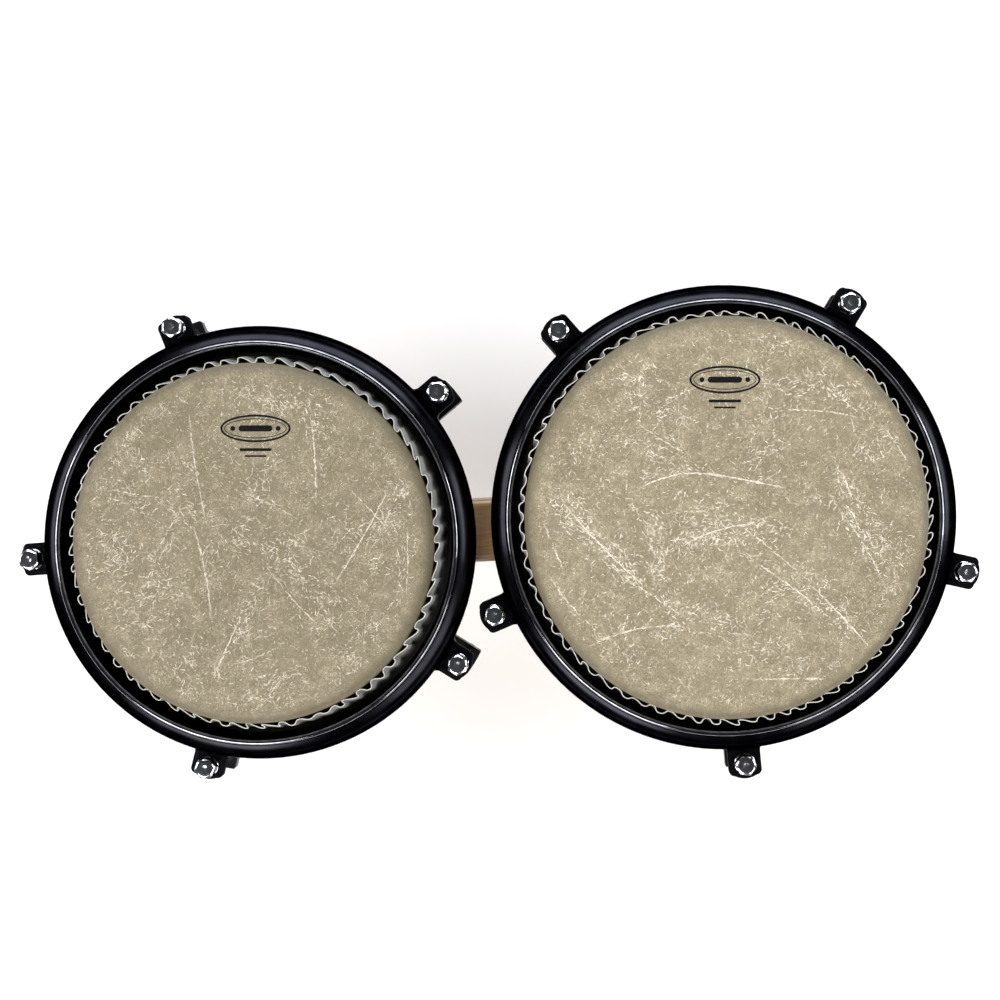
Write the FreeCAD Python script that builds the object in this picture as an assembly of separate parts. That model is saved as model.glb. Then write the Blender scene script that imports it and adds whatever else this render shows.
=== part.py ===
"""Bongo drums: a small and a large drum joined by a centre block.

Units are millimetres and +Z is up. Each drum is drawn about its own vertical axis and then moved to its
place. The origin is the bottom centre of the whole pair's bounding box, on the surface it stands on.
+X runs from the small drum to the large one.

Each head is held down by a rim that five tuning bolts pull towards brackets on the shell. The rim, the
flesh hoop and the head's collar move together along Z, and the bolts turn as they go.
"""
import FreeCAD, Part
import math
import os

Vector = FreeCAD.Vector
UP = Vector(0, 0, 1)

# The pair
CENTRE_DISTANCE = 251.1
LUG_COUNT = 5
LUG_STEP_DEG = 360.0 / LUG_COUNT

# Heights above the floor, shared by both drums
HEAD_TOP_Z = 165.0
RIM_TOP_Z = 150.4
TAIL_TOP_Z = 155.0
RIM_WIDEST_Z = 137.0
RIM_SKIRT_BOTTOM_Z = 125.6
RIM_BOTTOM_Z = 122.0
EAR_TOP_Z = 131.0
EAR_BOTTOM_Z = 124.5
BOLT_TOP_Z = 141.0
BOLT_TIP_Z = 62.0
LUG_TOP_Z = 87.0
LUG_BOTTOM_Z = 50.0

# Head
FILM_THICKNESS = 0.4
SHOULDER_RADIUS = 6.4
COLLAR_UPRIGHT = 2.0
HOOP_WIDTH = 5.4
HOOP_HEIGHT = 6.4
HOOP_CORNER = 1.4
HOOP_BOTTOM_Z = 123.9
HOOP_CLEARANCE = 0.1
HOOP_RIM_GAP = 0.9

# Shell
SHELL_WALL = 10.0
SHELL_BOTTOM_Z = 3.0
EDGE_GAP = 0.1
EDGE_FLAT = 2.0
EDGE_BEVEL = 3.6

# Rim
RIM_WALL = 2.4
RIM_BEAD_RADIUS = 1.3
RIM_GROOVE_WIDTH = 0.5
RIM_GROOVE_DROP = 2.1
RIM_CROWN_DROP = 1.5
RIM_SKIRT_TAPER = 0.8
LEDGE_OVERLAP = 1.3
LEDGE_HEIGHT = 2.6
EAR_WIDTH = 17.8
EAR_CORNER = 3.0
EAR_END_BOW = 1.6
EAR_FILLET = 4.0
EAR_SEAT_DEPTH = 1.0
EAR_SEAT_WIDTH = 12.6

# Bolts
BOLT_RADIUS = 3.0
BOLT_HOLE_RADIUS = 3.08
BOLT_HEAD_FLATS = 10.0
BOLT_HEAD_CHAMFER = 1.1
BOLT_TIP_CHAMFER = 0.8
WASHER_RADIUS = 5.8
WASHER_BORE_RADIUS = 3.3
WASHER_THICKNESS = 1.2
HEAD_SEAT_GAP = 0.04

# Lugs
LUG_WIDTH = 15.6
LUG_ARM_HEIGHT = 8.0
LUG_CORNER = 1.2
LUG_END_BOW = 0.3
LUG_PLATE_HALF_WIDTH = 12.0
LUG_PLATE_THICKNESS = 4.0
LUG_PLATE_TOP_Z = 92.0
LUG_WEB_THICKNESS = 6.0
LUG_BOSS_BOTTOM_Z = 66.0
LUG_BOSS_RADIUS = 6.8
LUG_HOLE_CLEARANCE = 0.8
INSERT_RADIUS = 4.6
INSERT_BORE_RADIUS = 3.05
INSERT_LENGTH = 15.0
GASKET_THICKNESS = 1.5
SCREW_HEIGHTS = (59.0, 82.0)
SCREW_RADIUS = 2.5
SCREW_HOLE_RADIUS = 2.8
SCREW_HEAD_RADIUS = 4.5
SCREW_HEAD_HEIGHT = 2.8
SCREW_GRIP = 9.0
SCREW_BOSS_RADIUS = 4.8
SCREW_BOSS_REACH = 10.0
SCREW_SOCKET_RADIUS = 1.6
SPOT_FACE_RADIUS = 5.2
SPOT_FACE_DEPTH = 1.0

# Centre block
BLOCK_WIDTH = 36.0
BLOCK_BOTTOM_Z = 45.0
BLOCK_TOP_Z = 105.0
BLOCK_EDGE_ROUND = 5.0
PAD_THICKNESS = 1.5
BLOCK_BOLT_HEIGHTS = (60.0, 90.0)
BLOCK_BOLT_RADIUS = 4.0
BLOCK_BOLT_HOLE_RADIUS = 4.3
BLOCK_HEAD_FLATS = 13.0
BLOCK_HEAD_HEIGHT = 5.3
BLOCK_NUT_HEIGHT = 6.8
BLOCK_BOLT_SPARE = 2.6
BLOCK_WASHER_RADIUS = 9.0
BLOCK_WASHER_THICKNESS = 1.6
BLOCK_SPOT_RADIUS = 9.8
BLOCK_SPOT_DEPTH = 1.6

# Foot rings
FOOT_LIP_HEIGHT = 10.0
FOOT_LIP_THICKNESS = 2.4
FOOT_BEVEL = 1.0


class Drum:
    """The driving sizes of one drum, and what follows from them."""

    def __init__(self, name, film_radius, bottom_radius, rim_inner, rim_outer, bolt_circle, ear_end,
                 tail_lean, first_lug_deg, block_side, centre_x):
        self.name = name
        self.film_radius = film_radius
        self.bottom_radius = bottom_radius
        self.rim_inner = rim_inner
        self.rim_outer = rim_outer
        self.bolt_circle = bolt_circle
        self.ear_end = ear_end
        self.tail_lean = tail_lean
        self.first_lug_deg = first_lug_deg
        self.block_side = block_side
        self.centre_x = centre_x
        self.flat_radius = film_radius - SHOULDER_RADIUS
        self.edge_radius = SHOULDER_RADIUS - FILM_THICKNESS - EDGE_GAP
        self.edge_centre_z = HEAD_TOP_Z - FILM_THICKNESS - self.edge_radius
        self.hoop_outer = rim_inner - HOOP_RIM_GAP
        self.hoop_inner = self.hoop_outer - HOOP_WIDTH

    def shell_radius(self, z):
        """The outside of the tapered shell at height z."""
        top = self.flat_radius + self.edge_radius
        slope = (top - self.bottom_radius) / (self.edge_centre_z - SHELL_BOTTOM_Z)
        return self.bottom_radius + slope * (z - SHELL_BOTTOM_Z)

    def lug_angles(self):
        return [self.first_lug_deg + LUG_STEP_DEG * k for k in range(LUG_COUNT)]


SMALL = Drum("small", film_radius=95.8, bottom_radius=83.0, rim_inner=105.9, rim_outer=117.5,
             bolt_circle=126.1, ear_end=133.1, tail_lean=-3.9, first_lug_deg=37.2, block_side=1,
             centre_x=-CENTRE_DISTANCE / 2)
LARGE = Drum("large", film_radius=106.5, bottom_radius=94.0, rim_inner=114.1, rim_outer=125.4,
             bolt_circle=134.3, ear_end=142.6, tail_lean=-1.3, first_lug_deg=56.2, block_side=-1,
             centre_x=CENTRE_DISTANCE / 2)


# Drawing helpers

def section_point(r, z):
    """A point of a section drawn in the XZ plane."""
    return Vector(r, 0, z)


def line(a, b):
    return Part.LineSegment(a, b).toShape()


def arc_through(a, middle, b):
    return Part.Arc(a, middle, b).toShape()


def circle_point(centre_r, centre_z, radius, angle_deg):
    angle = math.radians(angle_deg)
    return section_point(centre_r + radius * math.cos(angle), centre_z + radius * math.sin(angle))


def revolved(edges, angle_deg=360.0):
    """A solid of revolution about Z from the edges of a closed section."""
    face = Part.Face(Part.Wire(Part.__sortEdges__(edges)))
    return face.revolve(Vector(0, 0, 0), UP, angle_deg)


def polygon_edges(points):
    return [line(points[i], points[(i + 1) % len(points)]) for i in range(len(points))]


def ring(points, angle_deg=360.0):
    """A solid of revolution about Z from a polygon of (radius, height) pairs."""
    return revolved(polygon_edges([section_point(r, z) for r, z in points]), angle_deg)


def cylinder(radius, bottom, top, x=0.0):
    return Part.makeCylinder(radius, top - bottom, Vector(x, 0, bottom), UP)


def cylinder_along_x(radius, start_x, end_x, z):
    return Part.makeCylinder(radius, end_x - start_x, Vector(start_x, 0, z), Vector(1, 0, 0))


def hexagon_prism(flats, base, direction, height, turn_deg=0.0):
    """A hexagonal prism from the point base along direction."""
    corner_radius = flats / math.sqrt(3)
    corners = []
    for k in range(6):
        angle = math.radians(60 * k + turn_deg)
        corners.append(Vector(corner_radius * math.cos(angle), corner_radius * math.sin(angle), 0))
    prism = Part.Face(Part.makePolygon(corners + [corners[0]])).extrude(UP * height)
    prism.Placement = FreeCAD.Placement(base, FreeCAD.Rotation(UP, direction))
    return prism


def thick_strip(path, thickness):
    """The outline of a strip of even thickness along a path of (radius, height) pairs."""
    half = thickness / 2
    sides = ([], [])
    last = len(path) - 1
    for i, (r, z) in enumerate(path):
        before = path[max(i - 1, 0)]
        after = path[min(i + 1, last)]
        into = math.atan2(z - before[1], r - before[0]) if i else None
        away = math.atan2(after[1] - z, after[0] - r) if i < last else None
        into = away if into is None else into
        away = into if away is None else away
        turn = math.atan2(math.sin(away - into), math.cos(away - into))
        normal = into + turn / 2 + math.pi / 2
        reach = half / math.cos(turn / 2)
        for side, sign in zip(sides, (1, -1)):
            side.append((r + sign * reach * math.cos(normal), z + sign * reach * math.sin(normal)))
    return sides[0] + sides[1][::-1]


def around(shape, angles):
    """Copies of a shape turned about Z by each angle."""
    copies = []
    for angle in angles:
        copy = shape.copy()
        copy.rotate(Vector(0, 0, 0), UP, angle)
        copies.append(copy)
    return copies


def tab_outline(root_x, end_x, width, corner, bow, fillet_x=None, fillet=0.0):
    """A flat tab pointing along +X: straight sides, rounded corners and a slightly bowed end.

    With a fillet, the sides spread with a hollow curve to meet a wall at fillet_x.
    """
    half = width / 2
    corner_x = end_x - bow - corner
    inset = corner * (1 - math.sqrt(0.5))

    def side(sign):
        edges = []
        start = Vector(root_x, sign * half, 0)
        if fillet:
            start = Vector(root_x, sign * (half + fillet), 0)
            wall = Vector(fillet_x, sign * (half + fillet), 0)
            hollow = fillet * (1 - math.sqrt(0.5))
            middle = Vector(fillet_x + hollow, sign * (half + hollow), 0)
            flank = Vector(fillet_x + fillet, sign * half, 0)
            edges += [line(start, wall), arc_through(wall, middle, flank)]
        else:
            flank = start
        shoulder = Vector(corner_x, sign * half, 0)
        bend = Vector(corner_x + corner - inset, sign * (half - inset), 0)
        tip = Vector(corner_x + corner, sign * (half - corner), 0)
        edges += [line(flank, shoulder), arc_through(shoulder, bend, tip)]
        return start, edges, tip

    low_start, low_edges, low_tip = side(-1)
    high_start, high_edges, high_tip = side(1)
    end = arc_through(low_tip, Vector(end_x, 0, 0), high_tip)
    edges = low_edges + [end] + high_edges + [line(high_start, low_start)]
    return Part.Face(Part.Wire(Part.__sortEdges__(edges)))


def tab(bottom, top, *outline):
    face = tab_outline(*outline)
    face.translate(UP * bottom)
    return face.extrude(UP * (top - bottom))


# Parts of one drum, each about the drum's own axis

def shell(drum):
    """The tapered wooden shell: rounded bearing edge, holes for the lug screws and the block bolts."""
    outer_top = section_point(drum.flat_radius + drum.edge_radius, drum.edge_centre_z)
    bend = circle_point(drum.flat_radius, drum.edge_centre_z, drum.edge_radius, 45)
    crown = circle_point(drum.flat_radius, drum.edge_centre_z, drum.edge_radius, 90)
    flat_end = section_point(drum.flat_radius - EDGE_FLAT, crown.z)
    bevel_z = crown.z - EDGE_BEVEL
    outline = [
        section_point(drum.bottom_radius - SHELL_WALL, SHELL_BOTTOM_Z),
        section_point(drum.bottom_radius, SHELL_BOTTOM_Z),
        outer_top,
    ]
    inner = [flat_end, section_point(drum.shell_radius(bevel_z) - SHELL_WALL, bevel_z), outline[0]]
    edges = [line(outline[0], outline[1]), line(outline[1], outline[2])]
    edges += [arc_through(outer_top, bend, crown), line(crown, flat_end)]
    edges += [line(inner[0], inner[1]), line(inner[1], inner[2])]
    body = revolved(edges)
    holes = around(screw_holes(drum), drum.lug_angles())
    return body.cut(holes + [block_bolt_holes(drum)])


def screw_holes(drum):
    """The two holes behind a lug, with flat seats for the screw heads inside the shell."""
    holes = []
    for z in SCREW_HEIGHTS:
        seat = screw_seat(drum, z)
        holes.append(cylinder_along_x(SCREW_HOLE_RADIUS, seat - SHELL_WALL, seat + 2 * SHELL_WALL, z))
        holes.append(cylinder_along_x(SPOT_FACE_RADIUS, seat - SHELL_WALL, seat, z))
    return Part.makeCompound(holes)


def screw_seat(drum, z):
    return drum.shell_radius(z) - SHELL_WALL + SPOT_FACE_DEPTH


def block_seat(drum, z):
    return drum.shell_radius(z) - SHELL_WALL + BLOCK_SPOT_DEPTH


def block_bolt_holes(drum):
    """The two holes towards the other drum, with flat seats for washers inside the shell."""
    holes = []
    for z in BLOCK_BOLT_HEIGHTS:
        seat = block_seat(drum, z)
        holes.append(cylinder_along_x(BLOCK_BOLT_HOLE_RADIUS, seat - SHELL_WALL, seat + 2 * SHELL_WALL, z))
        holes.append(cylinder_along_x(BLOCK_SPOT_RADIUS, seat - 2 * SHELL_WALL, seat, z))
    compound = Part.makeCompound(holes)
    if drum.block_side < 0:
        compound.rotate(Vector(0, 0, 0), UP, 180)
    return compound


def head_film(drum):
    """The playing surface and its rounded shoulder."""
    centre_z = HEAD_TOP_Z - SHOULDER_RADIUS
    inner_radius = SHOULDER_RADIUS - FILM_THICKNESS

    def bend(radius):
        ends = [circle_point(drum.flat_radius, centre_z, radius, angle) for angle in (90, 45, 0)]
        return ends, arc_through(*ends)

    outside, outer_arc = bend(SHOULDER_RADIUS)
    inside, inner_arc = bend(inner_radius)
    top_centre = section_point(0, HEAD_TOP_Z)
    under_centre = section_point(0, HEAD_TOP_Z - FILM_THICKNESS)
    edges = [line(top_centre, outside[0]), outer_arc, line(outside[2], inside[2]), inner_arc]
    edges += [line(inside[0], under_centre), line(under_centre, top_centre)]
    return revolved(edges)


def head_collar(drum):
    """The film below the shoulder: down beside the shell, round the flesh hoop, and up into its tail."""
    half = FILM_THICKNESS / 2
    side = drum.film_radius - half
    side_top = HEAD_TOP_Z - SHOULDER_RADIUS
    inner = drum.hoop_inner - HOOP_CLEARANCE - half
    outer = drum.hoop_outer + HOOP_CLEARANCE + half
    low = HOOP_BOTTOM_Z - HOOP_CLEARANCE - half
    high = HOOP_BOTTOM_Z + HOOP_HEIGHT + HOOP_CLEARANCE + half
    tail = drum.hoop_inner + HOOP_WIDTH * 0.4
    path = [(side, side_top), (side, side_top - COLLAR_UPRIGHT), (inner, low), (outer, low), (outer, high),
            (tail, high), (tail + drum.tail_lean, TAIL_TOP_Z)]
    return ring(thick_strip(path, FILM_THICKNESS))


def flesh_hoop(drum):
    """The round-cornered metal ring that the film wraps."""
    low, high = HOOP_BOTTOM_Z, HOOP_BOTTOM_Z + HOOP_HEIGHT
    inner, outer = drum.hoop_inner, drum.hoop_outer
    corners = [(outer, low, 270), (outer, high, 0), (inner, high, 90), (inner, low, 180)]
    arcs = []
    for r, z, start in corners:
        centre_r = r - HOOP_CORNER if r == outer else r + HOOP_CORNER
        centre_z = z - HOOP_CORNER if z == high else z + HOOP_CORNER
        arcs.append([circle_point(centre_r, centre_z, HOOP_CORNER, start + part) for part in (0, 45, 90)])
    edges = [arc_through(*points) for points in arcs]
    edges += [line(arcs[k][2], arcs[(k + 1) % 4][0]) for k in range(4)]
    return revolved(edges)


def ledge_bottom():
    """The rim's ledge presses on the film where it wraps the top of the flesh hoop."""
    return HOOP_BOTTOM_Z + HOOP_HEIGHT + HOOP_CLEARANCE + FILM_THICKNESS


def rim_section(drum):
    """The rim's hollow section: inner wall with its ledge, rounded bead, sloping crown and outer skirt."""
    inner, outer = drum.rim_inner, drum.rim_outer
    bead_end = inner + 2 * RIM_BEAD_RADIUS
    crown_start = bead_end + RIM_GROOVE_WIDTH
    width = outer - crown_start
    rise = RIM_TOP_Z - RIM_CROWN_DROP - RIM_WIDEST_Z
    crown_radius = (width ** 2 + rise ** 2) / (2 * width)
    crown_centre = outer - crown_radius
    ledge_inner = drum.hoop_outer - LEDGE_OVERLAP
    ledge_z = ledge_bottom()

    def crown_height(r, radius):
        return RIM_WIDEST_Z + math.sqrt(radius ** 2 - (r - crown_centre) ** 2)

    def crown_middle(start_r, radius):
        start = math.degrees(math.acos((start_r - crown_centre) / radius))
        return circle_point(crown_centre, RIM_WIDEST_Z, radius, start / 2)

    bead_centre = (inner + RIM_BEAD_RADIUS, RIM_TOP_Z - RIM_BEAD_RADIUS)
    bead = [circle_point(*bead_centre, RIM_BEAD_RADIUS, angle) for angle in (180, 90, 0)]
    groove = section_point(bead_end + RIM_GROOVE_WIDTH / 4, RIM_TOP_Z - RIM_GROOVE_DROP)
    crown = section_point(crown_start, RIM_WIDEST_Z + rise)
    widest = section_point(outer, RIM_WIDEST_Z)
    skirt = section_point(outer - RIM_SKIRT_TAPER, RIM_SKIRT_BOTTOM_Z)
    skirt_inside = section_point(skirt.x - RIM_WALL, RIM_SKIRT_BOTTOM_Z)
    widest_inside = section_point(outer - RIM_WALL, RIM_WIDEST_Z)
    cavity_r = inner + RIM_WALL
    cavity_top = section_point(cavity_r, crown_height(cavity_r, crown_radius - RIM_WALL))
    wall = [
        section_point(cavity_r, RIM_BOTTOM_Z),
        section_point(inner, RIM_BOTTOM_Z),
        section_point(inner, ledge_z),
        section_point(ledge_inner, ledge_z),
        section_point(ledge_inner, ledge_z + LEDGE_HEIGHT),
        section_point(inner, ledge_z + LEDGE_HEIGHT),
        bead[0],
    ]
    edges = [line(a, b) for a, b in zip(wall, wall[1:])]
    edges += [arc_through(*bead), line(bead[2], groove), line(groove, crown)]
    edges.append(arc_through(crown, crown_middle(crown_start, crown_radius), widest))
    edges += [line(widest, skirt), line(skirt, skirt_inside), line(skirt_inside, widest_inside)]
    edges.append(arc_through(widest_inside, crown_middle(cavity_r, crown_radius - RIM_WALL), cavity_top))
    edges.append(line(cavity_top, wall[0]))
    return edges


def ear(drum):
    """One ear of the rim, with a shallow seat for the washer between raised side lips."""
    root = drum.rim_inner + RIM_WALL / 2
    body = tab(EAR_BOTTOM_Z, EAR_TOP_Z, root, drum.ear_end, EAR_WIDTH, EAR_CORNER, EAR_END_BOW,
               drum.rim_outer - 1.5, EAR_FILLET)
    seat_half = EAR_SEAT_WIDTH / 2
    seat_start = drum.rim_outer + 0.8
    seat = Part.makeBox(drum.bolt_circle - seat_start, EAR_SEAT_WIDTH, EAR_SEAT_DEPTH,
                        Vector(seat_start, -seat_half, EAR_TOP_Z - EAR_SEAT_DEPTH))
    round_seat = cylinder(seat_half, EAR_TOP_Z - EAR_SEAT_DEPTH, EAR_TOP_Z, drum.bolt_circle)
    hole = cylinder(BOLT_HOLE_RADIUS, EAR_BOTTOM_Z, EAR_TOP_Z, drum.bolt_circle)
    return body.cut([seat, round_seat, hole])


def rim(drum):
    """The cast rim: a hollow ring with five ears."""
    band = revolved(rim_section(drum))
    return band.fuse(around(ear(drum), drum.lug_angles())).removeSplitter()


def washers(drum):
    seat = EAR_TOP_Z - EAR_SEAT_DEPTH
    disc = cylinder(WASHER_RADIUS, seat, seat + WASHER_THICKNESS, drum.bolt_circle)
    washer = disc.cut(cylinder(WASHER_BORE_RADIUS, seat, seat + WASHER_THICKNESS, drum.bolt_circle))
    return Part.makeCompound(around(washer, drum.lug_angles()))


def tuning_bolt(drum, angle):
    """A hexagon-headed bolt, with the rounded chamfer of a turned head and a chamfered tip."""
    head_bottom = EAR_TOP_Z - EAR_SEAT_DEPTH + WASHER_THICKNESS + HEAD_SEAT_GAP
    height = BOLT_TOP_Z - head_bottom
    head = hexagon_prism(BOLT_HEAD_FLATS, UP * head_bottom, UP, height)
    corner = BOLT_HEAD_FLATS / math.sqrt(3)
    face = BOLT_HEAD_FLATS / 2 - BOLT_HEAD_CHAMFER
    drop = (corner - face) * 0.55
    envelope = ring([(0, head_bottom), (corner, head_bottom), (corner, BOLT_TOP_Z - drop),
                     (face, BOLT_TOP_Z), (0, BOLT_TOP_Z)])
    shank = ring([(0, BOLT_TIP_Z), (BOLT_RADIUS - BOLT_TIP_CHAMFER, BOLT_TIP_Z),
                  (BOLT_RADIUS, BOLT_TIP_Z + BOLT_TIP_CHAMFER), (BOLT_RADIUS, head_bottom), (0, head_bottom)])
    bolt = head.common(envelope).fuse(shank)
    bolt.translate(Vector(drum.bolt_circle, 0, 0))
    return around(bolt, [angle])[0]


def curved_plate(drum, inner_gap, thickness, half_width, bottom, top):
    """A plate that follows the tapered shell, centred on +X."""
    low, high = drum.shell_radius(bottom) + inner_gap, drum.shell_radius(top) + inner_gap
    half_angle = math.degrees(half_width / drum.shell_radius((bottom + top) / 2))
    plate = ring([(low, bottom), (low + thickness, bottom), (high + thickness, top), (high, top)],
                 2 * half_angle)
    plate.rotate(Vector(0, 0, 0), UP, -half_angle)
    return plate


def lug_web(drum):
    """The upright web under the lug's arm, from the foot of its plate out to the boss."""
    plate_face = drum.shell_radius(LUG_BOTTOM_Z) + GASKET_THICKNESS + LUG_PLATE_THICKNESS / 2
    corners = [
        Vector(plate_face, 0, LUG_BOTTOM_Z + 2),
        Vector(plate_face + LUG_PLATE_THICKNESS, 0, LUG_BOTTOM_Z + 2),
        Vector(drum.bolt_circle, 0, LUG_BOSS_BOTTOM_Z + 1),
        Vector(drum.bolt_circle, 0, LUG_TOP_Z - 1),
        Vector(plate_face + LUG_PLATE_THICKNESS, 0, LUG_TOP_Z - 1),
    ]
    face = Part.Face(Part.makePolygon(corners + [corners[0]]))
    face.translate(Vector(0, -LUG_WEB_THICKNESS / 2, 0))
    return face.extrude(Vector(0, LUG_WEB_THICKNESS, 0))


def lug(drum, angle):
    """A cast bracket on the shell's side: curved plate, web, arm and the boss that holds the insert."""
    plate = curved_plate(drum, GASKET_THICKNESS, LUG_PLATE_THICKNESS, LUG_PLATE_HALF_WIDTH,
                         LUG_BOTTOM_Z, LUG_PLATE_TOP_Z)
    arm_root = drum.shell_radius(LUG_TOP_Z) + GASKET_THICKNESS + LUG_PLATE_THICKNESS / 2
    arm = tab(LUG_TOP_Z - LUG_ARM_HEIGHT, LUG_TOP_Z, arm_root, drum.ear_end, LUG_WIDTH,
              LUG_CORNER, LUG_END_BOW)
    boss = cylinder(LUG_BOSS_RADIUS, LUG_BOSS_BOTTOM_Z, LUG_TOP_Z - 1, drum.bolt_circle)
    pieces = [lug_web(drum), arm, boss]
    for z in SCREW_HEIGHTS:
        start = drum.shell_radius(z) + GASKET_THICKNESS + LUG_PLATE_THICKNESS / 2
        pieces.append(cylinder_along_x(SCREW_BOSS_RADIUS, start, start + SCREW_BOSS_REACH, z))
    body = plate.fuse(pieces).removeSplitter()
    cuts = [cylinder(INSERT_RADIUS, LUG_TOP_Z - INSERT_LENGTH, LUG_TOP_Z, drum.bolt_circle)]
    cuts.append(cylinder(BOLT_RADIUS + LUG_HOLE_CLEARANCE, LUG_BOTTOM_Z, LUG_TOP_Z, drum.bolt_circle))
    cuts += [screw_shank(drum, z) for z in SCREW_HEIGHTS]
    return around(body.cut(cuts), [angle])[0]


def lug_inserts(drum):
    bottom = LUG_TOP_Z - INSERT_LENGTH
    sleeve = cylinder(INSERT_RADIUS, bottom, LUG_TOP_Z, drum.bolt_circle)
    insert = sleeve.cut(cylinder(INSERT_BORE_RADIUS, bottom, LUG_TOP_Z, drum.bolt_circle))
    return Part.makeCompound(around(insert, drum.lug_angles()))


def screw_shank(drum, z):
    seat = screw_seat(drum, z)
    tip = drum.shell_radius(z) + GASKET_THICKNESS + SCREW_GRIP
    return cylinder_along_x(SCREW_RADIUS, seat, tip, z)


def lug_screws(drum):
    """Two screws per lug, put in from inside the shell."""
    screws = []
    for z in SCREW_HEIGHTS:
        seat = screw_seat(drum, z)
        head = cylinder_along_x(SCREW_HEAD_RADIUS, seat - SCREW_HEAD_HEIGHT, seat, z)
        socket = hexagon_prism(2 * SCREW_SOCKET_RADIUS, Vector(seat - SCREW_HEAD_HEIGHT, 0, z),
                               Vector(1, 0, 0), SCREW_HEAD_HEIGHT / 2)
        screws.append(head.fuse(screw_shank(drum, z)).removeSplitter().cut(socket))
    return Part.makeCompound([copy for screw in screws for copy in around(screw, drum.lug_angles())])


def lug_gaskets(drum):
    gasket = curved_plate(drum, 0, GASKET_THICKNESS, LUG_PLATE_HALF_WIDTH, LUG_BOTTOM_Z, LUG_PLATE_TOP_Z)
    shell_radius = drum.shell_radius(LUG_BOTTOM_Z)
    holes = [cylinder_along_x(SCREW_HOLE_RADIUS, shell_radius - SHELL_WALL, shell_radius + SHELL_WALL, z)
             for z in SCREW_HEIGHTS]
    return Part.makeCompound(around(gasket.cut(holes), drum.lug_angles()))


def foot_ring(drum):
    """The rubber channel under the shell, which the drum stands on."""
    inner_low = drum.bottom_radius - SHELL_WALL
    outer_low = drum.bottom_radius
    outer_high = drum.shell_radius(FOOT_LIP_HEIGHT)
    inner_high = outer_high - SHELL_WALL
    lip = FOOT_LIP_THICKNESS
    return ring([
        (inner_low - lip + FOOT_BEVEL, 0), (outer_low + lip - FOOT_BEVEL, 0), (outer_low + lip, FOOT_BEVEL),
        (outer_high + lip, FOOT_LIP_HEIGHT - FOOT_BEVEL), (outer_high + lip - FOOT_BEVEL, FOOT_LIP_HEIGHT),
        (outer_high, FOOT_LIP_HEIGHT), (outer_low, SHELL_BOTTOM_Z), (inner_low, SHELL_BOTTOM_Z),
        (inner_high, FOOT_LIP_HEIGHT), (inner_high - lip, FOOT_LIP_HEIGHT), (inner_low - lip, FOOT_BEVEL),
    ])


def block_pad(drum):
    """The thin cushion between a shell and the centre block."""
    pad = curved_plate(drum, 0, PAD_THICKNESS, BLOCK_WIDTH / 2, BLOCK_BOTTOM_Z, BLOCK_TOP_Z)
    if drum.block_side < 0:
        pad.rotate(Vector(0, 0, 0), UP, 180)
    return pad.cut(block_bolt_holes(drum))


# Parts between the drums, in the pair's frame

def swept_cone(drum, gap):
    """The solid inside a shell's outer face, grown by gap and standing at the drum's place."""
    low, high = BLOCK_BOTTOM_Z - 5, BLOCK_TOP_Z + 5
    low_radius, high_radius = drum.shell_radius(low) + gap, drum.shell_radius(high) + gap
    cone = Part.makeCone(low_radius, high_radius, high - low, UP * low, UP)
    cone.translate(Vector(drum.centre_x, 0, 0))
    return cone


def block_bolt_span(z):
    """Where a block bolt's head and nut seat, as X from the small drum's side to the large one's."""
    return SMALL.centre_x + block_seat(SMALL, z), LARGE.centre_x - block_seat(LARGE, z)


def centre_block():
    """The wooden block between the drums, with a hollow face against each shell."""
    start, end = SMALL.centre_x + SMALL.bottom_radius - 20, LARGE.centre_x - LARGE.bottom_radius + 20
    block = Part.makeBox(end - start, BLOCK_WIDTH, BLOCK_TOP_Z - BLOCK_BOTTOM_Z,
                         Vector(start, -BLOCK_WIDTH / 2, BLOCK_BOTTOM_Z))
    long_edges = [e for e in block.Edges if abs(e.tangentAt(e.FirstParameter).x) > 0.9]
    block = block.makeFillet(BLOCK_EDGE_ROUND, long_edges)
    cuts = [swept_cone(drum, PAD_THICKNESS) for drum in (SMALL, LARGE)]
    cuts += [cylinder_along_x(BLOCK_BOLT_HOLE_RADIUS, start, end, z) for z in BLOCK_BOLT_HEIGHTS]
    return block.cut(cuts)


def centre_bolts():
    """Two bolts right through the block, with their heads inside the small shell."""
    bolts = []
    for z in BLOCK_BOLT_HEIGHTS:
        start, end = block_bolt_span(z)
        head_face = start - BLOCK_WASHER_THICKNESS
        tip = end + BLOCK_WASHER_THICKNESS + BLOCK_NUT_HEIGHT + BLOCK_BOLT_SPARE
        head = hexagon_prism(BLOCK_HEAD_FLATS, Vector(head_face, 0, z), Vector(-1, 0, 0), BLOCK_HEAD_HEIGHT)
        bolts.append(head.fuse(cylinder_along_x(BLOCK_BOLT_RADIUS, head_face, tip, z)))
    return Part.makeCompound(bolts)


def centre_washers():
    found = []
    for z in BLOCK_BOLT_HEIGHTS:
        start, end = block_bolt_span(z)
        for low in (start - BLOCK_WASHER_THICKNESS, end):
            disc = cylinder_along_x(BLOCK_WASHER_RADIUS, low, low + BLOCK_WASHER_THICKNESS, z)
            bore = cylinder_along_x(BLOCK_BOLT_HOLE_RADIUS, low, low + BLOCK_WASHER_THICKNESS, z)
            found.append(disc.cut(bore))
    return Part.makeCompound(found)


def centre_nuts():
    nuts = []
    for z in BLOCK_BOLT_HEIGHTS:
        seat = block_bolt_span(z)[1] + BLOCK_WASHER_THICKNESS
        nut = hexagon_prism(BLOCK_HEAD_FLATS, Vector(seat, 0, z), Vector(1, 0, 0), BLOCK_NUT_HEIGHT)
        nuts.append(nut.cut(cylinder_along_x(BLOCK_BOLT_RADIUS, seat, seat + BLOCK_NUT_HEIGHT, z)))
    return Part.makeCompound(nuts)


# Assembly

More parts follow.
